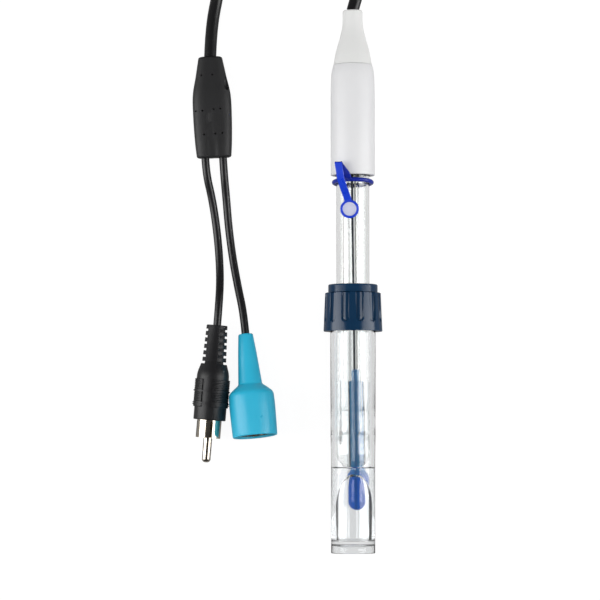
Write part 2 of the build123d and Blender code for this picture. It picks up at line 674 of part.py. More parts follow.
cable_exit = point_at(laid, 0, 0, boot_top)
splitter_entry = point_at(splitter_frame.location, 0, 0, 0)
rca_end = point_at(rca_frame, 0, 0, 0)
bnc_end = point_at(bnc_frame, 0, 0, 0)
nodes["cable_run_head"] = cord_tube("cable_run_head", [cable_exit] + head_route, cable_radius)
nodes["cable_run_split"] = cord_tube("cable_run_split", [splitter_entry] + split_route, cable_radius)
nodes["rca_lead"] = cord_tube("rca_lead", [rca_start] + rca_route + [rca_end], lead_radius)
nodes["bnc_lead"] = cord_tube("bnc_lead", [bnc_start] + bnc_route + [bnc_end], lead_radius)

os.makedirs("parts", exist_ok=True)
for name, solid in nodes.items():
    if isinstance(solid, list):
        pieces = [piece for item in solid for piece in item.solids()]
    else:
        pieces = solid.solids()
    shape = pieces[0] if len(pieces) == 1 else Compound(pieces)
    export_step(shape, os.path.join("parts", name + ".step"))
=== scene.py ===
import json
from math import cos, pi, radians, sin, sqrt

import bpy
from mathutils import Matrix, Vector


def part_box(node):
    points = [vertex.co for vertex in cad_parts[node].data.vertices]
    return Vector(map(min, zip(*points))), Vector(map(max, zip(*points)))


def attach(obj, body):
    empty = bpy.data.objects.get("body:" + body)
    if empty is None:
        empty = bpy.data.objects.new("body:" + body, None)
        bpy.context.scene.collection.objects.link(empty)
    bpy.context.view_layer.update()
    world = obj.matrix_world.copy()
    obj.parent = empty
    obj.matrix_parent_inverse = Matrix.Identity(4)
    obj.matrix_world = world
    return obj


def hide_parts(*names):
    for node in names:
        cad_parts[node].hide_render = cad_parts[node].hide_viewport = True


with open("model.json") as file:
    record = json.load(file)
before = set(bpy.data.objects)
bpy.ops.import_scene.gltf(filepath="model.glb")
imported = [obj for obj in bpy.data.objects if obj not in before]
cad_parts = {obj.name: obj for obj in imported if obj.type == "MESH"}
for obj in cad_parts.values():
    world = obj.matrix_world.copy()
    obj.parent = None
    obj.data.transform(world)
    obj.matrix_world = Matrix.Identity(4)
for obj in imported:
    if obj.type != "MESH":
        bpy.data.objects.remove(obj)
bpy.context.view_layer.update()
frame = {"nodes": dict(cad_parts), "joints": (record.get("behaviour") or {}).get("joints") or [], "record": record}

nodes = frame["nodes"]
joints = {joint["name"]: joint for joint in frame["joints"]}
mounts = {mount["name"]: mount for mount in frame["record"]["mounts"]}


# View: straight down on the electrode as it lies on the table, from over its bottle, with a long
# lens, so that the stem and the bottle are seen square on and the head a little from underneath.
view_middle = Vector((-0.0193, -0.0070, 0.0090))
view_foot = Vector((-0.0193, -0.0360, 0.0))
view_height = 1.104

scene = bpy.context.scene
scene.view_settings.view_transform = "Standard"
bpy.ops.object.camera_add(location=view_foot + Vector((0, 0, view_height)))
camera = bpy.context.object
camera.data.sensor_width = 36
camera.data.lens = 180
camera.rotation_euler = (view_middle - camera.location).to_track_quat("-Z", "Y").to_euler()
scene.camera = camera


# Table and light: a white sweep, lit by two long low soft boxes at its left and right, and by a soft
# one overhead that no surface mirrors. The white is clean around the object and greyer far away, and
# looks darker at a slant through glass, which draws the glass's edges.
table_size = 5.0
table_white = (0.86, 0.86, 0.86)
clean_reach = 0.20            # radius of the clean white
grey_reach = 0.60
far_grey = 0.35
seen_white = 1.08             # how white the table is to the eye, through glass and mirrored
glass_white = 0.88
mirror_white = 0.22
slant_loss = 0.55             # how much darker it looks through glass at a slant
shadow_share = 0.14           # how much of the real shadow shows


class Shade:
    """A number or a colour in a finish. Arithmetic on it adds the Math nodes that it needs."""

    def __init__(self, finish, socket):
        self.finish = finish
        self.socket = socket

    def sum_of(self, operation, first, second):
        return self.finish.node("ShaderNodeMath", {"operation": operation}, {0: first, 1: second})

    def __add__(self, other):
        return self.sum_of("ADD", self, other)

    def __sub__(self, other):
        return self.sum_of("SUBTRACT", self, other)

    def __rsub__(self, other):
        return self.sum_of("SUBTRACT", other, self)

    def __mul__(self, other):
        return self.sum_of("MULTIPLY", self, other)

    def __gt__(self, other):
        return self.sum_of("GREATER_THAN", self, other)

    __radd__ = __add__
    __rmul__ = __mul__


class Finish:
    """One finish: a surface shader and the nodes that vary it."""

    def __init__(self, name, **surface):
        self.material = bpy.data.materials.new(name)
        self.material.use_nodes = True
        self.tree = self.material.node_tree
        self.surface = self.tree.nodes["Principled BSDF"]
        for socket, value in surface.items():
            self.feed(self.surface.inputs[socket.replace("_", " ").title().replace("Ior", "IOR")], value)

    def feed(self, socket, value):
        if isinstance(value, Shade):
            self.tree.links.new(value.socket, socket)
        elif isinstance(value, tuple) and len(value) == 3 and len(socket.default_value) == 4:
            socket.default_value = (*value, 1.0)
        else:
            socket.default_value = value

    def node(self, kind, settings=None, inputs=None, output=0):
        made = self.tree.nodes.new(kind)
        for setting, value in (settings or {}).items():
            if setting == "stops":
                for stop, (place, level) in zip(made.color_ramp.elements, value):
                    stop.position = place
                    stop.color = (level, level, level, 1.0)
            else:
                setattr(made, setting, value)
        for socket, value in (inputs or {}).items():
            self.feed(made.inputs[socket], value)
        return Shade(self, made.outputs[output])

    def place(self, turn=(0, 0, 0), stretch=(1, 1, 1)):
        """Object coordinates, turned and stretched to suit the pattern."""
        plain = self.node("ShaderNodeTexCoord", output="Object")
        return self.node("ShaderNodeMapping", {}, {"Vector": plain, "Rotation": turn, "Scale": stretch})

    def noise(self, scale, place=None, detail=3.0, roughness=0.5):
        return self.node("ShaderNodeTexNoise", {}, {"Vector": place or self.place(), "Scale": scale,
                                                    "Detail": detail, "Roughness": roughness})

    def step(self, value, low, high):
        """0 below low, 1 above high, smooth between."""
        return self.node("ShaderNodeMapRange", {"interpolation_type": "SMOOTHSTEP"},
                         {"Value": value, "From Min": low, "From Max": high})

    def blend(self, factor, first, second):
        """From the first colour to the second."""
        return self.node("ShaderNodeMix", {"data_type": "RGBA"}, {0: factor, 6: first, 7: second}, 2)

    def paint(self, socket, value):
        self.feed(self.surface.inputs[socket], value)

    def relief(self, height, depth, strength=1.0):
        """A fine relief, given in metres of depth."""
        bump = self.node("ShaderNodeBump", {}, {"Height": height, "Distance": depth, "Strength": strength})
        self.paint("Normal", bump)

    def part(self, position):
        """One coordinate of the place in the object: 0 is X, 1 is Y and 2 is Z."""
        plain = self.node("ShaderNodeTexCoord", output="Object")
        return self.node("ShaderNodeSeparateXYZ", {}, {0: plain}, position)


table_finish = Finish("table_white", base_color=table_white, roughness=0.9)
camera_ray = table_finish.node("ShaderNodeLightPath", output="Is Camera Ray")
glass_ray = table_finish.node("ShaderNodeLightPath", output="Transmission Depth") > 0.5
glossy_ray = table_finish.node("ShaderNodeLightPath", output="Is Glossy Ray") * (1.0 - glass_ray)
slant = table_finish.node("ShaderNodeLayerWeight", {}, {"Blend": 0.5}, "Facing")
across = table_finish.part(0)
along = table_finish.part(1)
reach = table_finish.node("ShaderNodeMath", {"operation": "SQRT"}, {0: across * across + along * along})
falling = 1.0 - table_finish.step(reach, clean_reach, grey_reach) * (1.0 - far_grey)
dimmed = glossy_ray * mirror_white + glass_ray * glass_white * (1.0 - slant * slant_loss)
glow = table_finish.node("ShaderNodeEmission", {}, {"Color": (1.0, 1.0, 1.0, 1.0),
                                                    "Strength": camera_ray * seen_white + dimmed * falling})
clear_share = (camera_ray + glossy_ray + glass_ray) * (1.0 - shadow_share)
mixed = table_finish.node("ShaderNodeMixShader", {}, {0: clear_share, 2: glow})
table_finish.tree.links.new(table_finish.surface.outputs[0], mixed.socket.node.inputs[1])
table_finish.tree.links.new(mixed.socket, table_finish.tree.nodes["Material Output"].inputs[0])

bpy.ops.object.select_all(action="DESELECT")
bpy.ops.mesh.primitive_plane_add(size=table_size, location=(0, 0, -0.00002))
table = bpy.context.object
table.name = "table"
table.data.materials.append(table_finish.material)

box_distance = 0.75
box_height = 0.32
box_width = 1.5
box_power = 6.4
for side in (-1, 1):
    bpy.ops.object.light_add(type="AREA", location=(side * box_distance, -0.02, box_height / 2 + 0.01))
    lamp = bpy.context.object
    lamp.data.shape = "RECTANGLE"
    lamp.data.size = box_width
    lamp.data.size_y = box_height
    lamp.data.energy = box_power
    lamp.rotation_euler = (Vector((0, 0, 0.02)) - lamp.location).to_track_quat("-Z", "Z").to_euler()
overhead_size = 1.1
bpy.ops.object.light_add(type="AREA", location=(0.0, -0.1, 1.3))
overhead = bpy.context.object
overhead.data.shape = "SQUARE"
overhead.data.size = overhead_size
overhead.data.energy = 5.4
overhead.visible_glossy = False
overhead.visible_transmission = False

room_level = 0.27
room_mirrored = 0.05
room_through_glass = 0.16
room = bpy.data.worlds.new("studio")
scene.world = room
room.use_nodes = True
room_nodes = room.node_tree.nodes
room_path = room_nodes.new("ShaderNodeLightPath")
level = None
for ray, white in (("Is Glossy Ray", room_mirrored), ("Transmission Depth", room_through_glass),
                   ("Is Camera Ray", 1.0)):
    room_white = room_nodes.new("ShaderNodeMix")
    room.node_tree.links.new(room_path.outputs[ray], room_white.inputs["Factor"])
    room_white.inputs["A"].default_value = room_level
    if level:
        room.node_tree.links.new(level, room_white.inputs["A"])
    room_white.inputs["B"].default_value = white
    level = room_white.outputs["Result"]
room.node_tree.links.new(level, room_nodes["Background"].inputs["Strength"])
room_nodes["Background"].inputs["Color"].default_value = (1.0, 1.0, 1.0, 1.0)


# Cable: 4.5 mm round, black soft sheath, about 0.8 m from the boot to the splitter. Most of it is put
# away in a tied coil beyond the head: three turns on the table and one and a half on top of them.
cable_diameter = 0.0045
lead_diameter = 0.0029
cable_route_out = [(0.0, 0.0992353, 0.0071291), (0.0022, 0.1075, 0.0066), (0.0066, 0.1186, 0.0046),
                   (0.0101, 0.1302, 0.0026), (0.0105, 0.1420, 0.00225)]
cable_route_back = [(-0.04625, 0.1420, 0.0065), (-0.0464, 0.1310, 0.0069), (-0.0476, 0.1193, 0.0044),
                    (-0.0493, 0.1072, 0.00225), (-0.0520, 0.0936, 0.0032), (-0.0523, 0.0824, 0.0044)]
coil_centre = Vector((-0.0190, 0.1420, 0.0))
coil_radius = 0.025
coil_turns = 4.5
coil_steps = 18               # points of the cable's line in a turn
climb_zone = (180.0, 240.0)   # where a turn climbs onto the others, in degrees
shift_zone = (250.0, 310.0)   # where the turns shift inwards by a diameter


def eased(value, low, high):
    """0 before low, 1 after high, smooth between."""
    share = min(max((value - low) / (high - low), 0.0), 1.0)
    return share * share * (3 - 2 * share)


def coil_point(turns):
    """Where the middle of the cable is after so many turns: radius and height change from lane to lane."""
    lap = int(turns)
    angle = (turns - lap) * 360.0
    climb = eased(angle, *climb_zone)
    shift = eased(angle, *shift_zone)
    if lap < 2:
        radius = coil_radius + cable_diameter * (1 - lap - shift)
        height = cable_diameter / 2
    else:
        round_turn = radians(60.0 * (min(lap, 4) - 2 + (climb if lap < 4 else 0.0)))
        radius = coil_radius - cable_diameter * cos(round_turn)
        height = cable_diameter * (0.5 + sin(round_turn))
        if 0.0 < shift < 1.0:
            height = cable_diameter * (0.5 + sqrt(1 - (0.5 - shift) ** 2))
    radius *= 4 / (3 + cos(2 * pi / coil_steps))
    return coil_centre + Vector((radius * cos(radians(angle)), radius * sin(radians(angle)), height))


def laid_cord(name, points, diameter):
    """A round cord whose smooth line is drawn by its route's points."""
    curve = bpy.data.curves.new(name, "CURVE")
    curve.dimensions = "3D"
    curve.bevel_depth = diameter / 2
    curve.bevel_resolution = 7
    curve.resolution_u = 8
    curve.use_fill_caps = True
    line = curve.splines.new("NURBS")
    line.points.add(len(points) - 1)
    for point, place in zip(line.points, points):
        point.co = (*place, 1.0)
    line.order_u = 3
    line.use_endpoint_u = True
    cord = bpy.data.objects.new(name, curve)
    scene.collection.objects.link(cord)
    return cord


coil_route = [coil_point(number / coil_steps) for number in range(1, round(coil_turns * coil_steps))]
cable_route = cable_route_out + [tuple(point) for point in coil_route] + cable_route_back
cable = laid_cord("signal_cable", cable_route, cable_diameter)
cable.data.resolution_u = 6

sheath_black = (0.013, 0.013, 0.014)
sheath = Finish("cable_sheath", base_color=sheath_black, roughness=0.36, specular_ior_level=0.5)
sheath_cloud = sheath.noise(60.0)
sheath.paint("Roughness", 0.24 + sheath_cloud * 0.10)
sheath.paint("Base Color", sheath.blend(sheath_cloud, (0.006, 0.006, 0.007), (0.012, 0.012, 0.013)))
sheath.relief(sheath.noise(2600.0, detail=2.0), 0.00001, 0.35)
cable.data.materials.append(sheath.material)
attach(cable, "electrode")
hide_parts("cable_run_head", "cable_coil", "cable_run_split")


# Leads: two 2.9 mm round leads run from the splitter to the plugs, bowed a little to the right, and
# dip to the table on their way.
rca_route = [(-0.0540545, 0.0450995, 0.0044), (-0.0537, 0.0393, 0.0044), (-0.05165, 0.0306, 0.0023),
             (-0.05015, 0.0210, 0.00145), (-0.0491, 0.0112, 0.0016), (-0.0486, 0.0014, 0.0029),
             (-0.04885, -0.0071, 0.0063), (-0.0496, -0.01615, 0.0064)]
bnc_route = [(-0.0475597, 0.0453604, 0.0044), (-0.0472, 0.0393, 0.0044), (-0.0464, 0.0306, 0.0023),
             (-0.0456, 0.0203, 0.00145), (-0.0441, 0.0087, 0.0016), (-0.0420, -0.0026, 0.0032),
             (-0.04002, -0.0115, 0.00502), (-0.03925, -0.0194, 0.0058329)]
rca_lead = laid_cord("rca_lead_line", rca_route, lead_diameter)
bnc_lead = laid_cord("bnc_lead_line", bnc_route, lead_diameter)
for lead, node in ((rca_lead, "rca_lead"), (bnc_lead, "bnc_lead")):
    lead.data.materials.append(sheath.material)
    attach(lead, "electrode")
    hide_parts(node)


# Bench: the electrode's parts are drawn on its own upright axis in millimetres, with height 0 at the
# head's lower edge and the front towards -Y, and are then laid down as the real one lies.
def upright(axis, point, first_node):
    """Where a turned thing lies: its axis, a point on it, and the node whose lower end is height 0."""
    axis = Vector(axis).normalized()
    side = Vector((0, 0, 1)).cross(axis).normalized()
    place = Matrix.Translation(point) @ Matrix((side, axis.cross(side), axis)).transposed().to_4x4()
    place = place @ Matrix.Scale(0.001, 4)
    return place @ Matrix.Translation((0, 0, node_box(first_node, place)[0].z))


def node_box(node, place):
    """Lowest and highest corner of a node on its own bench, in millimetres."""
    back = place.inverted()
    points = [back @ vertex.co for vertex in nodes[node].data.vertices]
    return [Vector(pick(point[axis] for point in points) for axis in range(3)) for pick in (min, max)]


away = Vector(joints["bottle_slide"]["axis"])
bench = upright(-away, joints["cap_turn"]["pos_m"], "head_shell") @ Matrix.Rotation(pi, 4, "Z")
rca_bench = upright(mounts["rca_pin"]["axis"], mounts["rca_pin"]["pos_m"], "rca_body")
bnc_bench = upright(joints["bnc_turn"]["axis"], joints["bnc_turn"]["pos_m"], "bnc_boot")


def eased_line(corners, closed=True, points=5):
    """The corners of an outline, (radius, height) or (radius, height, round), with the round ones eased."""
    line = []
    count = len(corners)
    for number, corner in enumerate(corners):
        here = Vector(corner[:2])
        ends = number in (0, count - 1) and not closed
        if len(corner) < 3 or ends:
            line.append(here)
            continue
        before = Vector(corners[number - 1][:2]) - here
        after = Vector(corners[(number + 1) % count][:2]) - here
        reach = min(corner[2], 0.48 * before.length, 0.48 * after.length)
        start = here + before.normalized() * reach
        end = here + after.normalized() * reach
        for step in range(points):
            share = step / (points - 1)
            line.append(start.lerp(here, share).lerp(here.lerp(end, share), share))
    return line


def turned(name, corners, steps=96, closed=True, points=5):
    """A turned body: its half section is drawn point by point in millimetres and spun about the axis."""
    line = eased_line(corners, closed, points)
    bpy.ops.object.select_all(action="DESELECT")
    bpy.ops.mesh.primitive_plane_add(size=1, location=(0, 0, 0))
    piece = bpy.context.object
    piece.name = name
    piece.data.name = name
    bpy.ops.object.mode_set(mode="EDIT")
    bpy.ops.mesh.merge(type="CENTER")
    bpy.ops.transform.translate(value=(line[0].x, 0, line[0].y))
    for before, after in zip(line, line[1:]):
        bpy.ops.mesh.extrude_vertices_move(TRANSFORM_OT_translate={
            "value": (after.x - before.x, 0, after.y - before.y)})
    if closed:
        last = line[0] - line[-1]
        bpy.ops.mesh.extrude_vertices_move(TRANSFORM_OT_translate={"value": (last.x, 0, last.y)})
    bpy.ops.mesh.select_all(action="SELECT")
    bpy.ops.mesh.remove_doubles(threshold=0.0001)
    bpy.ops.mesh.spin(steps=steps, angle=2 * pi, center=(0, 0, 0), axis=(0, 0, 1))
    bpy.ops.mesh.select_all(action="SELECT")
    bpy.ops.mesh.remove_doubles(threshold=0.0005)
    bpy.ops.mesh.dissolve_degenerate(threshold=0.0001)
    bpy.ops.mesh.normals_make_consistent(inside=False)
    bpy.ops.object.mode_set(mode="OBJECT")
    return piece


def move(piece, place):
    """Turns and shifts a piece, with its place kept in its mesh."""
    bpy.ops.object.select_all(action="DESELECT")
    piece.select_set(True)
    bpy.context.view_layer.objects.active = piece
    piece.matrix_world = place @ piece.matrix_world
    bpy.ops.object.transform_apply(location=True, rotation=True, scale=True)


def join_form(piece, other, operation):
    """Cuts another form away from a piece, or fuses it on, and clears the other away."""
    bpy.ops.object.select_all(action="DESELECT")
    bpy.context.view_layer.objects.active = piece
    change = piece.modifiers.new(operation.lower(), "BOOLEAN")
    change.operation = operation
    change.solver = "EXACT"
    change.object = other
    bpy.ops.object.modifier_apply(modifier=change.name)
    bpy.data.objects.remove(other)


def soften(piece, width, segments=2, angle=35.0):
    """Rounds a piece's sharp edges."""
    bpy.ops.object.select_all(action="DESELECT")
    bpy.context.view_layer.objects.active = piece
    change = piece.modifiers.new("soft_edges", "BEVEL")
    change.width = width
    change.segments = segments
    change.limit_method = "ANGLE"
    change.angle_limit = radians(angle)
    bpy.ops.object.modifier_apply(modifier=change.name)


def smooth(piece, angle=35.0):
    bpy.ops.object.select_all(action="DESELECT")
    piece.select_set(True)
    bpy.context.view_layer.objects.active = piece
    bpy.ops.object.shade_smooth_by_angle(angle=radians(angle))


def fit(piece, place, finish, body, slot, *replaced, angle=35.0):
    """Lays a finished piece down, gives it its finish, and says what it rides on and stands for."""
    if place:
        move(piece, place)
    smooth(piece, angle)
    if finish:
        piece.data.materials.clear()
        piece.data.materials.append(finish.material)
    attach(piece, body)
    if replaced:
        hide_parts(*replaced)
    return piece


def dress(finish, *names):
    """Gives nodes of the frame their finish."""
    for name in names:
        if nodes[name].material_slots:
            for entry in nodes[name].material_slots:
                entry.material = finish.material
        else:
            nodes[name].data.materials.append(finish.material)


# Head: white moulded plastic shell, satin, with a long shoulder up to the cable boot. It is hollow
# and open underneath, where the resin that holds the stem is set back a little from its edge.
head_high = node_box("head_shell", bench)[1]
head_radius = head_high.x
head_top = head_high.z
head_wall = 1.6
head_straight = 30.5
shoulder_bend = 37.6
shoulder_bend_radius = 7.83
shoulder_radius = 7.1
boot_hole = 3.35
shell = turned("head_cover", [
    (head_radius - head_wall, 0, 0.25), (head_radius, 0, 0.35), (head_radius, head_straight, 5.0),
    (shoulder_bend_radius, shoulder_bend, 3.0), (shoulder_radius, head_top, 0.35), (boot_hole, head_top),
    (boot_hole, head_top - 2.4), (5.5, head_top - 2.4, 0.5), (head_radius - head_wall, 28.1, 2.0)], steps=128)

head_white = Finish("head_plastic", roughness=0.34)
mottle = head_white.noise(90.0)
head_white.paint("Base Color", head_white.blend(mottle, (0.785, 0.785, 0.80), (0.825, 0.825, 0.83)))
head_white.paint("Roughness", 0.30 + mottle * 0.12)
head_white.relief(head_white.noise(3200.0, detail=2.0), 0.000012, 0.3)
fit(shell, bench, head_white, "electrode", "head_white", "head_shell")

resin = Finish("potting_resin", roughness=0.3)
resin_cloud = resin.noise(420.0)
resin.paint("Base Color", resin.blend(resin_cloud, (0.16, 0.13, 0.10), (0.45, 0.40, 0.33)))
resin.relief(resin_cloud, 0.0002, 0.6)
dress(resin, "head_potting")


# Cable boot: soft off-white plastic, a waisted cone whose rounded top grips the cable.
boot_top = node_box("cable_boot", bench)[1].z
boot_bore = 2.27
boot = turned("cable_grip", [
    (boot_bore, head_top - 2.3), (boot_hole - 0.05, head_top - 2.3), (boot_hole - 0.05, head_top + 0.02),
    (7.02, head_top + 0.02), (6.6, 43.3, 2.0), (5.9, 46.5, 2.0), (4.85, 50.2, 2.0), (3.95, 53.8, 2.0),
    (3.64, 56.4, 1.5), (3.62, boot_top - 0.05, 1.3), (boot_bore, boot_top, 0.25)], steps=96)
boot_white = Finish("boot_plastic", roughness=0.55)
boot_cloud = boot_white.noise(70.0)
boot_white.paint("Base Color", boot_white.blend(boot_cloud, (0.80, 0.805, 0.785), (0.85, 0.85, 0.845)))
boot_white.relief(boot_white.noise(1800.0, detail=3.0), 0.00002, 0.5)
fit(boot, bench, boot_white, "electrode", "boot_white", "cable_boot")
dress(sheath, "cable_tail", "bnc_lead_tail")

core_finish = Finish("core_insulation", roughness=0.4)
core_side = core_finish.part(0)
core_band = core_finish.step(core_side, -0.0012, -0.0008)
core_finish.paint("Base Color", core_finish.blend(core_band, (0.5, 0.04, 0.03), (0.75, 0.73, 0.68)))
dress(core_finish, "cable_cores")
sleeve_finish = Finish("shrunk_sleeve", roughness=0.45, base_color=(0.02, 0.02, 0.02))
sleeve_finish.paint("Roughness", 0.4 + sleeve_finish.noise(900.0) * 0.2)
dress(sleeve_finish, "core_sleeves")


# Stem: clear glass tube with a domed end, and inside it the inner glass, fused through the dome and
# blown into the sensing bulb. Both are one piece of glass. The filling hole is in its front.
stem_low, stem_high = node_box("stem_tube", bench)
stem_radius = stem_high.x
stem_wall = 1.0
stem_top = stem_high.z
dome_centre = stem_low.z + stem_radius
inner_lean = Matrix.Rotation(radians(-0.66), 4, "Y")
inner_radius = 2.25
inner_wall = 0.62
inner_top = 21.0
bulb_radius = 3.15
bulb_wall = 0.45
bulb_end = -122.1
bulb_neck_high = -107.9
bulb_neck_low = -109.7
glass_overlap = 0.05          # liquids reach this far into the glass, so that light bends rightly
hole_place = Vector((-1.3, -stem_radius, -12.8))
hole_radius = 1.75


def quarter(radius, centre, towards, points=14):
    """Corners of a rounded end, from the side to the tip."""
    return [(radius * cos(0.5 * pi * n / points), centre + towards * radius * sin(0.5 * pi * n / points))
            for n in range(points + 1)]


def nose_line(half, length, towards, points=20):
    """Corners of a long round nose, from its full width to its tip."""
    steps = [0.5 * pi * n / points for n in range(points + 1)]
    return [(half * cos(step), towards * length * sin(step)) for step in steps]


def inner_form(name, grow, bulb_grow, top):
    """The inner glass's outside, or its bore when it is shrunk by the walls."""
    tube = inner_radius + grow
    bulb = bulb_radius + bulb_grow
    middle = bulb_end - bulb_grow + bulb
    return turned(name, [(0, top), (tube, top), (tube, bulb_neck_high, 1.6), (bulb, bulb_neck_low, 1.4)]
                  + quarter(bulb, middle, -1), steps=96)


def domed(name, radius, top, steps=128):
    """A round bar with a domed lower end, on the stem's axis."""
    return turned(name, [(0, top), (radius, top)] + quarter(radius, dome_centre, -1), steps=steps)


glass = domed("stem_glass", stem_radius, stem_top)
join_form(glass, domed("hollow", stem_radius - stem_wall, stem_top + 1), "DIFFERENCE")
inner = inner_form("inner", 0, 0, inner_top)
move(inner, inner_lean)
join_form(glass, inner, "UNION")
bore = inner_form("bore", -inner_wall, -bulb_wall, inner_top + 1)
move(bore, inner_lean)
join_form(glass, bore, "DIFFERENCE")
bpy.ops.mesh.primitive_cylinder_add(vertices=48, radius=hole_radius, depth=4, location=hole_place,
                                    rotation=(pi / 2, 0, 0))
join_form(glass, bpy.context.object, "DIFFERENCE")

clear_glass = Finish("stem_clear_glass", base_color=(0.985, 0.995, 0.99), roughness=0.0, ior=1.47,
                     transmission_weight=1.0)
fit(glass, bench, clear_glass, "electrode", "stem_glass", "stem_tube", "inner_tube")


# Inner filling: deep blue gel that fills the bulb and the inner glass, with a thin tongue at its top,
# round the silver wire and the dark lead of the temperature sensor, which shows in it as a dark line.
gel_top = -71.4
gel_narrow = 1.35
gel_step = -75.5
gel = inner_form("blue_gel", glass_overlap - inner_wall, glass_overlap - bulb_wall, gel_step)
tongue = turned("tongue", [(0, gel_step - 1), (gel_narrow, gel_step - 1), (gel_narrow, gel_top, 0.4),
                           (0, gel_top + 0.3)], steps=48)
join_form(gel, tongue, "UNION")
move(gel, inner_lean)
# The gel glows faintly in its own colour (Emission Strength 0.8): painted light in place of the lamps' light,
# which the glass around it keeps out.
gel_blue = Finish("gel_filling_painted_glow", roughness=0.08, ior=1.34, specular_ior_level=0.15, emission_strength=0.8)
lean_slope = sin(radians(0.66))
lead_offset = 0.00035
gel_axis = (bench.translation.y - gel_blue.part(1)) * lean_slope
lead_off = gel_blue.part(0) - gel_axis + lead_offset
lead_side = gel_blue.node("ShaderNodeMath", {"operation": "ABSOLUTE"}, {0: lead_off})
lead_dark = 1.0 - gel_blue.step(lead_side, 0.0001, 0.0008)
bulb_share = gel_blue.step(gel_blue.part(1), bench.translation.y - 0.106, bench.translation.y - 0.111)
deep_blue = gel_blue.blend(bulb_share, (0.050, 0.172, 0.33), (0.014, 0.080, 0.37))
gel_colour_and_glow = gel_blue.blend(lead_dark * 0.55, deep_blue, (0.012, 0.055, 0.17))
gel_blue.paint("Base Color", gel_colour_and_glow)
# The same colour is painted in as the gel's glow: painted light.
gel_blue.paint("Emission Color", gel_colour_and_glow)
fit(gel, bench, gel_blue, "electrode", "gel_blue", "inner_gel")

silver = Finish("dark_silver", metallic=1.0, roughness=0.4)
silver_cloud = silver.noise(1500.0)
silver.paint("Base Color", silver.blend(silver_cloud, (0.28, 0.26, 0.26), (0.62, 0.60, 0.58)))
dress(silver, "inner_wire", "reference_wire")
sensor_dark = Finish("sensor_lead", roughness=0.5)
sensor_cloud = sensor_dark.noise(800.0)
sensor_dark.paint("Base Color", sensor_dark.blend(sensor_cloud, (0.012, 0.016, 0.03), (0.03, 0.04, 0.07)))
dress(sensor_dark, "temperature_sensor")


# Outer filling: clear electrolyte up to two thirds of the stem, with a long flat bubble at its front.
# A white ceramic pin through the dome lets it touch the solution.
fill_top = -75.4
fill = domed("clear_filling", stem_radius - stem_wall + glass_overlap, fill_top)
inner_room = inner_form("inner_room", -glass_overlap, -glass_overlap, 0)
move(inner_room, inner_lean)
join_form(fill, inner_room, "DIFFERENCE")
bubble_half = 2.75
bubble_nose = -95.9
bubble_depth = 0.6
nose_length = 5.2
stem_bore = stem_radius - stem_wall
bubble = turned("bubble", [(0, 25.0), (bubble_half, 25.0)] + nose_line(bubble_half, nose_length, -1))
move(bubble, Matrix.Translation((0.2, -stem_bore, bubble_nose + nose_length)))
round_back = turned("round_back", [(0, bubble_nose - 5), (stem_bore - bubble_depth, bubble_nose - 5),
                                   (stem_bore - bubble_depth, fill_top + 5), (0, fill_top + 5)], steps=128)
join_form(bubble, round_back, "DIFFERENCE")
bpy.ops.mesh.primitive_cube_add(size=40, location=(0, 20, -85))
join_form(bubble, bpy.context.object, "DIFFERENCE")
join_form(fill, bubble, "DIFFERENCE")
water_clear = Finish("clear_filling", base_color=(0.99, 0.995, 1.0), roughness=0.0, ior=1.34,
                     transmission_weight=1.0)
fit(fill, bench, water_clear, "electrode", "reference_fill", "reference_electrolyte")

ceramic = Finish("porous_ceramic", roughness=0.8)
ceramic_cloud = ceramic.noise(3000.0)
ceramic.paint("Base Color", ceramic.blend(ceramic_cloud, (0.78, 0.76, 0.72), (0.92, 0.91, 0.88)))
dress(ceramic, "ceramic_junction")
seal_soft = Finish("stem_seal_rubber", roughness=0.7)
seal_cloud = seal_soft.noise(500.0)
seal_soft.paint("Base Color", seal_soft.blend(seal_cloud, (0.60, 0.60, 0.58), (0.72, 0.72, 0.70)))
dress(seal_soft, "stem_seal")


# Stopper: one blue silicone moulding. A ring sits on the stem under the head, and its strap goes up
# in front of the head's edge, folds over and comes down to the round plug in the filling hole.
band_depth = -2.5
band_section = 0.8
band_middle = stem_radius + 0.05 + band_section
band_tilt = radians(-4.5)
strap_width = 2.7
strap_thickness = 0.9
fold_place = Vector((-5.4, -10.2, 3.7))
fold_radius = 0.45
plug_radius = 3.4
plug_thickness = 1.4
plug_face = -stem_radius - 0.07
plug_centre = Vector((hole_place.x, plug_face, hole_place.z))


def bent_sheet(name, across, along, shape):
    """A grid of faces bent to a closed tube by shape(round, along), each from 0 to 1."""
    bpy.ops.object.select_all(action="DESELECT")
    bpy.ops.mesh.primitive_grid_add(x_subdivisions=across, y_subdivisions=along, size=2)
    piece = bpy.context.object
    piece.name = name
    piece.data.name = name
    for vertex in piece.data.vertices:
        vertex.co = shape((vertex.co.x + 1) / 2, (vertex.co.y + 1) / 2)
    bpy.ops.object.mode_set(mode="EDIT")
    bpy.ops.mesh.select_all(action="SELECT")
    bpy.ops.mesh.remove_doubles(threshold=0.0001)
    bpy.ops.mesh.select_all(action="DESELECT")
    bpy.ops.mesh.select_non_manifold(extend=False)
    bpy.ops.mesh.fill_holes(sides=0)
    bpy.ops.mesh.select_all(action="SELECT")
    bpy.ops.mesh.normals_make_consistent(inside=False)
    bpy.ops.object.mode_set(mode="OBJECT")
    return piece


def smooth_path(points, share):
    """A point of a smooth line through the given points, from 0 at the first to 1 at the last."""
    place = share * (len(points) - 1)
    number = min(int(place), len(points) - 2)
    part = place - number
    before = points[max(number - 1, 0)]
    first = points[number]
    second = points[number + 1]
    after = points[min(number + 2, len(points) - 1)]
    bend = 2 * before - 5 * first + 4 * second - after
    twist = 3 * first - before - 3 * second + after
    return 0.5 * (2 * first + (second - before) * part + bend * part ** 2 + twist * part ** 3)


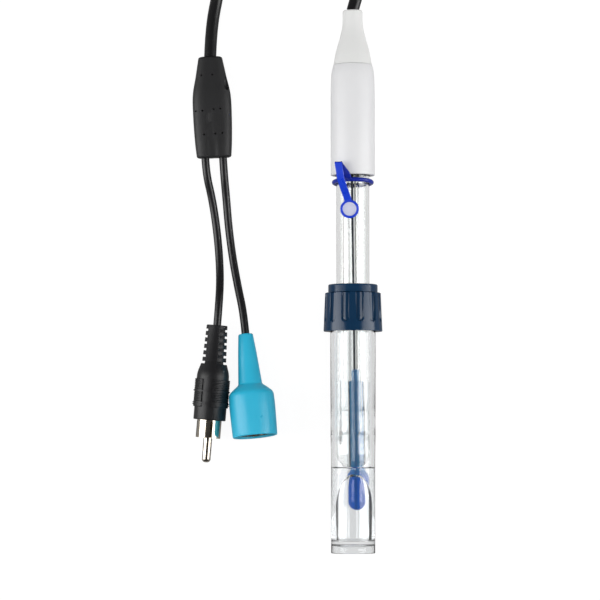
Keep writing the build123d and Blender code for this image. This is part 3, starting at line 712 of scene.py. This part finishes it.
def strap(name, points, width, thickness):
    """A flat strap with round edges along a line, square to the view from the front."""
    path = [Vector(point) for point in points]

    def shape(turn, share):
        here = smooth_path(path, share)
        ahead = smooth_path(path, min(share + 0.01, 1)) - smooth_path(path, max(share - 0.01, 0))
        ahead.normalize()
        side = Vector((1, 0, 0))
        side = (side - ahead * side.dot(ahead)).normalized()
        out = side.cross(ahead)
        angle = 2 * pi * turn
        wide = abs(cos(angle)) ** 0.45 * (1 if cos(angle) > 0 else -1) * width / 2
        thick = abs(sin(angle)) ** 0.6 * (1 if sin(angle) > 0 else -1) * thickness / 2
        return here + side * wide + out * thick

    return bent_sheet(name, 32, 40, shape)


bpy.ops.mesh.primitive_torus_add(major_radius=band_middle, minor_radius=band_section, major_segments=96,
                                 minor_segments=24, location=(0, 0, 0))
band = bpy.context.object
band.name = "stopper_ring"
move(band, Matrix.Translation((0, 0, band_depth)) @ Matrix.Rotation(band_tilt, 4, "X"))
root = strap("root", [(-1.5, -6.7, -2.1), (-1.9, -7.6, -1.7), (-2.3, -9.1, -0.7), (-3.6, -9.65, 1.1),
                      (-4.6, -9.95, 2.4), (-5.4, -10.2, 3.6)], strap_width, strap_thickness)
join_form(band, root, "UNION")
bpy.ops.mesh.primitive_cylinder_add(vertices=32, radius=fold_radius, depth=strap_width - 0.1,
                                    location=fold_place, rotation=(0, pi / 2, 0))
join_form(band, bpy.context.object, "UNION")

silicone = Finish("blue_silicone", roughness=0.3)
silicone_cloud = silicone.noise(260.0)
silicone.paint("Base Color", silicone.blend(silicone_cloud, (0.004, 0.036, 0.56), (0.010, 0.062, 0.72)))
silicone.paint("Roughness", 0.22 + silicone_cloud * 0.12)
silicone.relief(silicone.noise(1400.0), 0.00002, 0.3)
# The ring and the strap's root get a darker copy of the same blue silicone: painted shade.
shaded_silicone = Finish("silicone_painted_shade", roughness=0.26)
shaded_cloud = shaded_silicone.noise(260.0)
shaded_blue = shaded_silicone.blend(shaded_cloud, (0.004, 0.014, 0.27), (0.008, 0.028, 0.38))
shaded_silicone.paint("Base Color", shaded_blue)
fit(band, bench, shaded_silicone, "electrode", "silicone_blue", "stopper_band")

plug = turned("stopper_flap", [
    (0, -1.7), (0.9, -1.7, 0.3), (1.25, 0), (plug_radius, 0, 0.3), (plug_radius, plug_thickness, 0.45),
    (2.55, plug_thickness, 0.3), (2.5, 0.75, 0.15), (0, 0.7)], steps=72)
move(plug, Matrix.Translation(plug_centre) @ Matrix.Rotation(pi / 2, 4, "X"))
flap = strap("flap", [(-5.45, -11.15, 3.72), (-5.4, -11.15, 3.1), (-4.95, -11.0, 0.5), (-4.6, -10.5, -1.7),
                      (-3.7, -9.3, -4.6), (-2.7, -8.1, -7.2), (-2.0, -7.15, -9.2), (-1.9, -6.95, -10.2)],
             strap_width, strap_thickness)
join_form(plug, flap, "UNION")
thin_silicone = Finish("thin_silicone", roughness=0.3)
thin_cloud = thin_silicone.noise(500.0)
thin_silicone.paint("Base Color", thin_silicone.blend(thin_cloud, (0.62, 0.63, 0.80), (0.72, 0.73, 0.86)))
plug.data.materials.clear()
plug.data.materials.append(silicone.material)
plug.data.materials.append(thin_silicone.material)
for face in plug.data.polygons:
    off = face.center - plug_centre
    level = -off.y
    if Vector((off.x, off.z)).length < 2.5 and 0.6 < level < 0.9:
        face.material_index = 1
fit(plug, bench, None, "stopper", "silicone_blue", "stopper_plug")


# Bottle: clear hard plastic, moulded, a little wider at its neck, with a floor set up inside a hollow
# foot and two faint moulded rings round it.
bottle_low, bottle_high = node_box("bottle", bench)
bottle_bore = 7.0
top_radius = 8.3
low_radius = 8.0
neck_radius = 7.75
cap_low, cap_high = node_box("bottle_cap", bench)
shoulder = cap_low.z - 0.6
taper_end = bottle_low.z + 32.5
foot = bottle_low.z + 3.4
floor = foot + 1.1
mark_heights = [-86.5, -95.1]
mark_corners = [corner for height in mark_heights
                for corner in ((8.17, height + 0.35), (8.25, height, 0.2), (8.15, height - 0.35))]
bottle = turned("storage_bottle_wall", [
    (0, floor, 0.1), (bottle_bore, floor, 0.7), (bottle_bore, bottle_high.z), (neck_radius, bottle_high.z),
    (neck_radius, cap_low.z + 0.6), (top_radius, shoulder, 0.5)] + mark_corners + [
    (low_radius, taper_end, 4.0), (low_radius, bottle_low.z, 0.35), (bottle_bore, bottle_low.z, 0.3),
    (bottle_bore - 0.1, foot, 0.7), (0, foot + 0.1, 0.1)], steps=128)
bottle_plastic = Finish("bottle_plastic", base_color=(0.975, 0.984, 0.988), roughness=0.0, ior=1.5,
                        transmission_weight=1.0)
bottle_plastic.relief(bottle_plastic.noise(70.0, bottle_plastic.place(stretch=(1, 0.25, 1))), 0.0002, 0.35)
fit(bottle, bench, bottle_plastic, "storage_bottle", "bottle_clear", "bottle")


# Storage solution: clear, and just covers the bulb. An air pocket with a round nose lies on its front
# side, the upper one as the bottle lies.
solution_top = -106.9
pocket_nose = -108.9
pocket_nose_length = 12.8
pocket_half = 6.35
pocket_middle = -4.9
pocket_depth = 5.8
solution = turned("clear_solution", [(0, floor - glass_overlap),
                                     (bottle_bore + glass_overlap, floor - glass_overlap),
                                     (bottle_bore + glass_overlap, solution_top + 0.7, 0.5),
                                     (6.3, solution_top, 0.5), (0, solution_top)], steps=128)
join_form(solution, domed("stem_room", stem_radius - glass_overlap, 0), "DIFFERENCE")
bulb_room = inner_form("bulb_room", -glass_overlap, -glass_overlap, -100)
move(bulb_room, inner_lean)
join_form(solution, bulb_room, "DIFFERENCE")


nose_base = pocket_nose - pocket_nose_length
pocket_end = floor + 0.2 - nose_base
pocket = turned("pocket", [(0, pocket_end), (pocket_half - 0.3, pocket_end, 0.6)]
                + nose_line(pocket_half, pocket_nose_length, 1, 24), steps=128)
pocket_place = Matrix.Translation((0.35, pocket_middle, nose_base))
move(pocket, pocket_place @ Matrix.Diagonal((1, pocket_depth / pocket_half, 1, 1)))
join_form(solution, pocket, "DIFFERENCE")
fit(solution, bench, water_clear, "storage_bottle", "solution_clear", "storage_solution")


# Screw cap: dark blue moulded plastic with a satin gloss. Twelve grooves with crisp edges and round
# lower ends run down its skirt, and a plain collar closes on the gasket.
collar_radius = 9.0
collar_low = cap_high.z - 3.0
skirt_top = 10.15
skirt_rim = 10.7
groove_count = 12
groove_half = 1.32
groove_depth = 0.75
groove_end = cap_low.z + 3.4
groove_phase = radians(-90 + 13.5)
cap_hole = stem_radius + 0.4
thread_radius = 8.6
thread_end = cap_high.z - 4.0
skirt_start = collar_low - 0.25
skirt_length = skirt_start - cap_low.z - 0.65
skirt_rows = [(skirt_top + (skirt_rim - skirt_top) * n / 44, skirt_start - skirt_length * n / 44)
              for n in range(45)]
cap = turned("ribbed_cap", [
    (cap_hole, cap_high.z, 0.25), (collar_radius, cap_high.z, 0.5), (collar_radius, collar_low, 0.15),
    (skirt_top - 0.35, collar_low, 0.3)] + skirt_rows + [
    (skirt_rim + 0.02, cap_low.z + 0.35), (skirt_rim, cap_low.z, 0.2), (thread_radius, cap_low.z, 0.2),
    (thread_radius, thread_end), (collar_radius - 1.1, thread_end),
    (collar_radius - 1.1, cap_high.z - 1.4), (cap_hole, cap_high.z - 1.4)], steps=432)
for vertex in cap.data.vertices:
    radius = sqrt(vertex.co.x ** 2 + vertex.co.y ** 2)
    if radius < 9.6 or vertex.co.z > collar_low + 0.01:
        continue
    flat = Vector((vertex.co.x, vertex.co.y)).normalized()
    turn = (Vector((1, 0)).angle_signed(flat) * -1 - groove_phase) / (2 * pi / groove_count)
    off = abs(turn - round(turn)) * 2 * pi / groove_count * radius
    below = groove_end + groove_half - vertex.co.z
    if below > 0:
        off = sqrt(off ** 2 + below ** 2)
    hollow = groove_depth * (1 - eased(off, groove_half - 0.22, groove_half + 0.12))
    hollow *= 1 - 0.25 * (1 - min(off / groove_half, 1))
    vertex.co.x -= flat.x * hollow
    vertex.co.y -= flat.y * hollow
cap_blue = Finish("cap_plastic", roughness=0.2)
cap_cloud = cap_blue.noise(120.0)
cap_blue.paint("Base Color", cap_blue.blend(cap_cloud, (0.0015, 0.024, 0.066), (0.003, 0.034, 0.088)))
cap_blue.paint("Roughness", 0.17 + cap_cloud * 0.08)
cap_blue.relief(cap_blue.noise(2400.0, detail=2.0), 0.00001, 0.3)
fit(cap, bench, cap_blue, "screw_cap", "cap_blue", "bottle_cap", angle=40.0)

gasket_grey = Finish("gasket_rubber", roughness=0.7)
gasket_cloud = gasket_grey.noise(600.0)
gasket_grey.paint("Base Color", gasket_grey.blend(gasket_cloud, (0.48, 0.49, 0.50), (0.60, 0.61, 0.62)))
dress(gasket_grey, "cap_gasket")


# Splitter: black vinyl moulded over the end of the cable and the start of both leads. It is a flat
# oval with the small marks of the mould's pins, a dent, and a shallow channel between the leads.
splitter_start = Vector(cable_route_back[-1])
splitter_end = (Vector(rca_route[0]) + Vector(bnc_route[0])) / 2
splitter_place = upright(splitter_end - splitter_start, splitter_start, "splitter")
splitter_rows = [(0.0, 8.6, 6.8), (7.0, 11.2, 8.0), (14.0, 13.9, 8.8), (22.0, 14.2, 8.8), (31.0, 13.6, 8.7),
                 (37.1, 12.6, 7.8)]
end_round = 0.7


def splitter_shape(turn, share):
    """A rounded box section that follows the widths and thicknesses along the splitter."""
    rows = [Vector(row) for row in splitter_rows]
    row = smooth_path(rows, share)
    length = rows[-1].x
    inset = 0.0
    for away_from_end in (row.x, length - row.x):
        if away_from_end < end_round:
            inset = max(inset, end_round - sqrt(max(end_round ** 2 - (end_round - away_from_end) ** 2, 0)))
    angle = 2 * pi * turn
    wide = abs(cos(angle)) ** 0.62 * (1 if cos(angle) > 0 else -1) * (row.y / 2 - inset)
    high = abs(sin(angle)) ** 0.62 * (1 if sin(angle) > 0 else -1) * (row.z / 2 - inset)
    channel = eased(row.x, 24.0, 36.0) * max(1 - ((wide - 0.2) / 1.3) ** 2, 0) * 0.6
    side = 0.4 * max(1 - ((wide + 1.5) / 0.55) ** 2, 0) * eased(row.x, 19, 20.5)
    high -= max(channel, side) * (1 if high > 0 else -1) if abs(high) > 2 else 0
    return Vector((wide, high, row.x))


body = bent_sheet("splitter_moulding", 96, 90, splitter_shape)
pin_marks = [(-3.4, 6.9), (0.6, 6.9), (-5.9, 20.0), (-3.5, 20.0), (0.6, 19.6), (3.1, 19.4), (-3.2, 28.7),
             (0.9, 28.6), (3.4, 28.4)]
for across_mark, along_mark in pin_marks:
    bpy.ops.mesh.primitive_cylinder_add(vertices=16, radius=0.33, depth=4.4, rotation=(pi / 2, 0, 0),
                                        location=(across_mark, 4.3 - 0.035 * across_mark ** 2, along_mark))
    join_form(body, bpy.context.object, "DIFFERENCE")
bpy.ops.mesh.primitive_uv_sphere_add(segments=24, ring_count=16, radius=1.0, location=(5.6, 2.8, 10.0))
dent = bpy.context.object
dent.scale = (1.3, 1.6, 2.8)
join_form(body, dent, "DIFFERENCE")
vinyl = Finish("moulded_vinyl", roughness=0.5)
vinyl_cloud = vinyl.noise(45.0)
vinyl.paint("Base Color", vinyl.blend(vinyl_cloud, (0.014, 0.014, 0.015), (0.021, 0.021, 0.022)))
vinyl.paint("Roughness", 0.42 + vinyl_cloud * 0.16)
vinyl.relief(vinyl.noise(1500.0, detail=4.0), 0.00003, 0.45)
fit(body, splitter_place, vinyl, "electrode", "moulded_black", "splitter")


# Coil tie: a soft black strap round the whole bundle of turns at the far side of the coil.
tie_low, tie_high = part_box("coil_tie")
tie_middle = (tie_low + tie_high) / 2
tie_half = (tie_high.x - tie_low.x) / 2
tie_section = [(-0.0072, 0.0012), (-0.0072, 0.0040), (-0.0052, 0.0084), (0.0052, 0.0084), (0.0072, 0.0040),
               (0.0072, 0.0012), (0.0058, 0.00025), (-0.0058, 0.00025)]
tie_thickness = 0.0004


def tie_shape(turn, share):
    """Round the strap's own thin section, and round the bundle."""
    place = share * len(tie_section)
    number = int(place) % len(tie_section)
    part = place - int(place)
    corners = [Vector((0, *tie_section[(number + step) % len(tie_section)])) for step in (-1, 0, 1, 2)]
    here = corners[1].lerp(corners[2], part)
    out = Vector((0, here.y, here.z - 0.0042)).normalized()
    angle = 2 * pi * turn
    wide = abs(cos(angle)) ** 0.3 * (1 if cos(angle) > 0 else -1) * tie_half
    thick = sin(angle) * tie_thickness
    if here.z < 0.001:
        thick *= 0.5
    height = max(here.z + out.z * thick, 0.0)
    return Vector((tie_middle.x + wide, tie_middle.y + here.y + out.y * thick, height))


tie = bent_sheet("coil_strap", 24, 96, tie_shape)
woven = Finish("woven_strap", roughness=0.8)
weave = woven.node("ShaderNodeTexWave", {"wave_type": "BANDS", "bands_direction": "X"},
                   {"Vector": woven.place(), "Scale": 900.0, "Distortion": 0.6})
woven.paint("Base Color", woven.blend(weave, (0.010, 0.010, 0.011), (0.035, 0.035, 0.037)))
woven.relief(weave, 0.00008, 0.7)
fit(tie, None, woven, "electrode", "tie_black", "coil_tie")


# RCA plug: black vinyl body with a finned strain relief and two raised, finely ribbed grip panels,
# and a nickel plated slotted ring round a solid nickel plated pin.
relief_length = 13.4
relief_top = 3.8
relief_end = 4.4
fin_count = 6
fin_gap = 0.85
spine = 4.7
shoulder_length = 4.4
body_radius = 5.9
body_length = 34.8
panel_start = 19.9
panel_length = 10.2
panel_proud = 0.5
panel_gap = 3.9
ring_radius = 4.52
rca_roll = Matrix.Rotation(radians(15.8), 4, "Z")
plug_body = turned("rca_shell", [
    (0, 0), (relief_top, 0, 0.3), (relief_end, relief_length), (relief_end + 0.1, relief_length + 0.2, 0.2),
    (body_radius, relief_length + shoulder_length, 1.4), (body_radius, body_length, 0.35),
    (ring_radius, body_length, 0.1), (ring_radius, body_length - 6.0), (0, body_length - 6.0)], steps=96)
fin_pitch = (relief_length + fin_gap) / fin_count
for number in range(1, fin_count + 1):
    for side in (-1, 1):
        gap_place = (side * (spine / 2 + 4.0), 0, number * fin_pitch - fin_gap / 2)
        bpy.ops.mesh.primitive_cube_add(size=1, location=gap_place)
        gap = bpy.context.object
        gap.scale = (8.0, 14.0, fin_gap)
        bpy.ops.object.transform_apply(location=False, rotation=False, scale=True)
        join_form(plug_body, gap, "DIFFERENCE")
soften(plug_body, 0.16, 2, 40.0)

rib_pitch = 0.62
panel = turned("panel", [(body_radius - 1.0, panel_start), (body_radius + panel_proud, panel_start, 0.25),
                         (body_radius + panel_proud, panel_start + panel_length, 0.25),
                         (body_radius - 1.0, panel_start + panel_length)], steps=96)
bpy.ops.mesh.primitive_cube_add(size=1, location=(0, 0, panel_start + panel_length / 2))
gap = bpy.context.object
gap.scale = (panel_gap, 4 * body_radius, 2 * panel_length)
bpy.ops.object.transform_apply(location=False, rotation=False, scale=True)
join_form(panel, gap, "DIFFERENCE")
for number in range(1, int(panel_length / rib_pitch)):
    middle = panel_start + number * rib_pitch
    crest = body_radius + panel_proud
    groove = turned("groove", [(crest - 0.24, middle), (crest + 0.3, middle - 0.2),
                               (crest + 0.3, middle + 0.2)])
    join_form(panel, groove, "DIFFERENCE")
soften(panel, 0.05, 2, 50.0)
join_form(plug_body, panel, "UNION")
satin_vinyl = Finish("plug_vinyl", roughness=0.42)
satin_cloud = satin_vinyl.noise(80.0)
satin_vinyl.paint("Base Color", satin_vinyl.blend(satin_cloud, (0.007, 0.007, 0.008), (0.013, 0.013, 0.015)))
satin_vinyl.paint("Roughness", 0.36 + satin_cloud * 0.14)
satin_vinyl.relief(satin_vinyl.noise(1900.0, detail=3.0), 0.00002, 0.5)
fit(plug_body, rca_bench @ rca_roll, satin_vinyl, "electrode", "moulded_black", "rca_body")

nickel = Finish("nickel_plate", metallic=1.0, roughness=0.16)
nickel_cloud = nickel.noise(300.0)
nickel.paint("Base Color", nickel.blend(nickel_cloud, (0.64, 0.57, 0.48), (0.76, 0.70, 0.61)))
nickel.paint("Roughness", 0.10 + nickel_cloud * 0.12)
dress(nickel, "rca_ground_ring", "rca_pin", "bnc_coupling_ring", "bnc_body", "bnc_ferrule", "bnc_spring")
dark_insulator = Finish("dark_insulator", roughness=0.55)
dark_cloud = dark_insulator.noise(700.0)
dark_insulator.paint("Base Color", dark_insulator.blend(dark_cloud, (0.03, 0.03, 0.03), (0.06, 0.06, 0.06)))
dress(dark_insulator, "rca_insulator")


# BNC plug: a light blue soft boot is pulled over the plug and turns with its nickel plated coupling
# ring on the fixed inner shell, with the white insulator and the gold contact in the middle.
bnc_neck = 18.7
bnc_neck_top = 2.65
bnc_neck_low = 4.4
bnc_shoulder = 22.2
bnc_radius = 8.4
bnc_mouth = 8.15
bnc_length = 37.8
coupling_radius = 7.27
coupling_back = 23.9
blue_boot = turned("bnc_cover", [
    (1.6, 0.0), (bnc_neck_top, 0, 0.5), (3.35, 6.5, 2.0), (bnc_neck_low, bnc_neck, 0.5), (6.5, 20.35, 0.6),
    (bnc_radius - 0.2, bnc_shoulder - 0.3, 1.0), (bnc_radius, 26.0, 3.0), (bnc_radius - 0.12, 33.5, 3.0),
    (bnc_mouth, bnc_length, 0.45), (coupling_radius, bnc_length, 0.3), (coupling_radius, coupling_back),
    (3.3, coupling_back), (3.3, 13.0), (1.6, 13.0)], steps=128)
bpy.ops.mesh.primitive_uv_sphere_add(segments=20, ring_count=12, radius=0.55, location=(3.3, 7.95, 31.4))
join_form(blue_boot, bpy.context.object, "DIFFERENCE")
boot_blue = Finish("soft_blue", roughness=0.42)
blue_cloud = boot_blue.noise(55.0)
boot_blue.paint("Base Color", boot_blue.blend(blue_cloud, (0.014, 0.44, 0.66), (0.034, 0.51, 0.75)))
boot_blue.paint("Roughness", 0.28 + blue_cloud * 0.14)
boot_blue.relief(boot_blue.noise(1200.0, detail=3.0), 0.00002, 0.4)
fit(blue_boot, bnc_bench, boot_blue, "bnc_grip", "boot_blue", "bnc_boot")

insulator_white = Finish("white_insulator", roughness=0.4)
white_cloud = insulator_white.noise(700.0)
insulator_colour = insulator_white.blend(white_cloud, (0.78, 0.78, 0.75), (0.88, 0.88, 0.86))
insulator_white.paint("Base Color", insulator_colour)
dress(insulator_white, "bnc_insulator")
gold = Finish("gold_contact", metallic=1.0, roughness=0.2)
gold.paint("Base Color", gold.blend(gold.noise(900.0), (0.80, 0.58, 0.25), (0.92, 0.72, 0.36)))
dress(gold, "bnc_pin")
seal_red = Finish("seal_ring_rubber", roughness=0.6)
seal_red.paint("Base Color", seal_red.blend(seal_red.noise(900.0), (0.32, 0.05, 0.03), (0.42, 0.08, 0.05)))
dress(seal_red, "bnc_gasket")
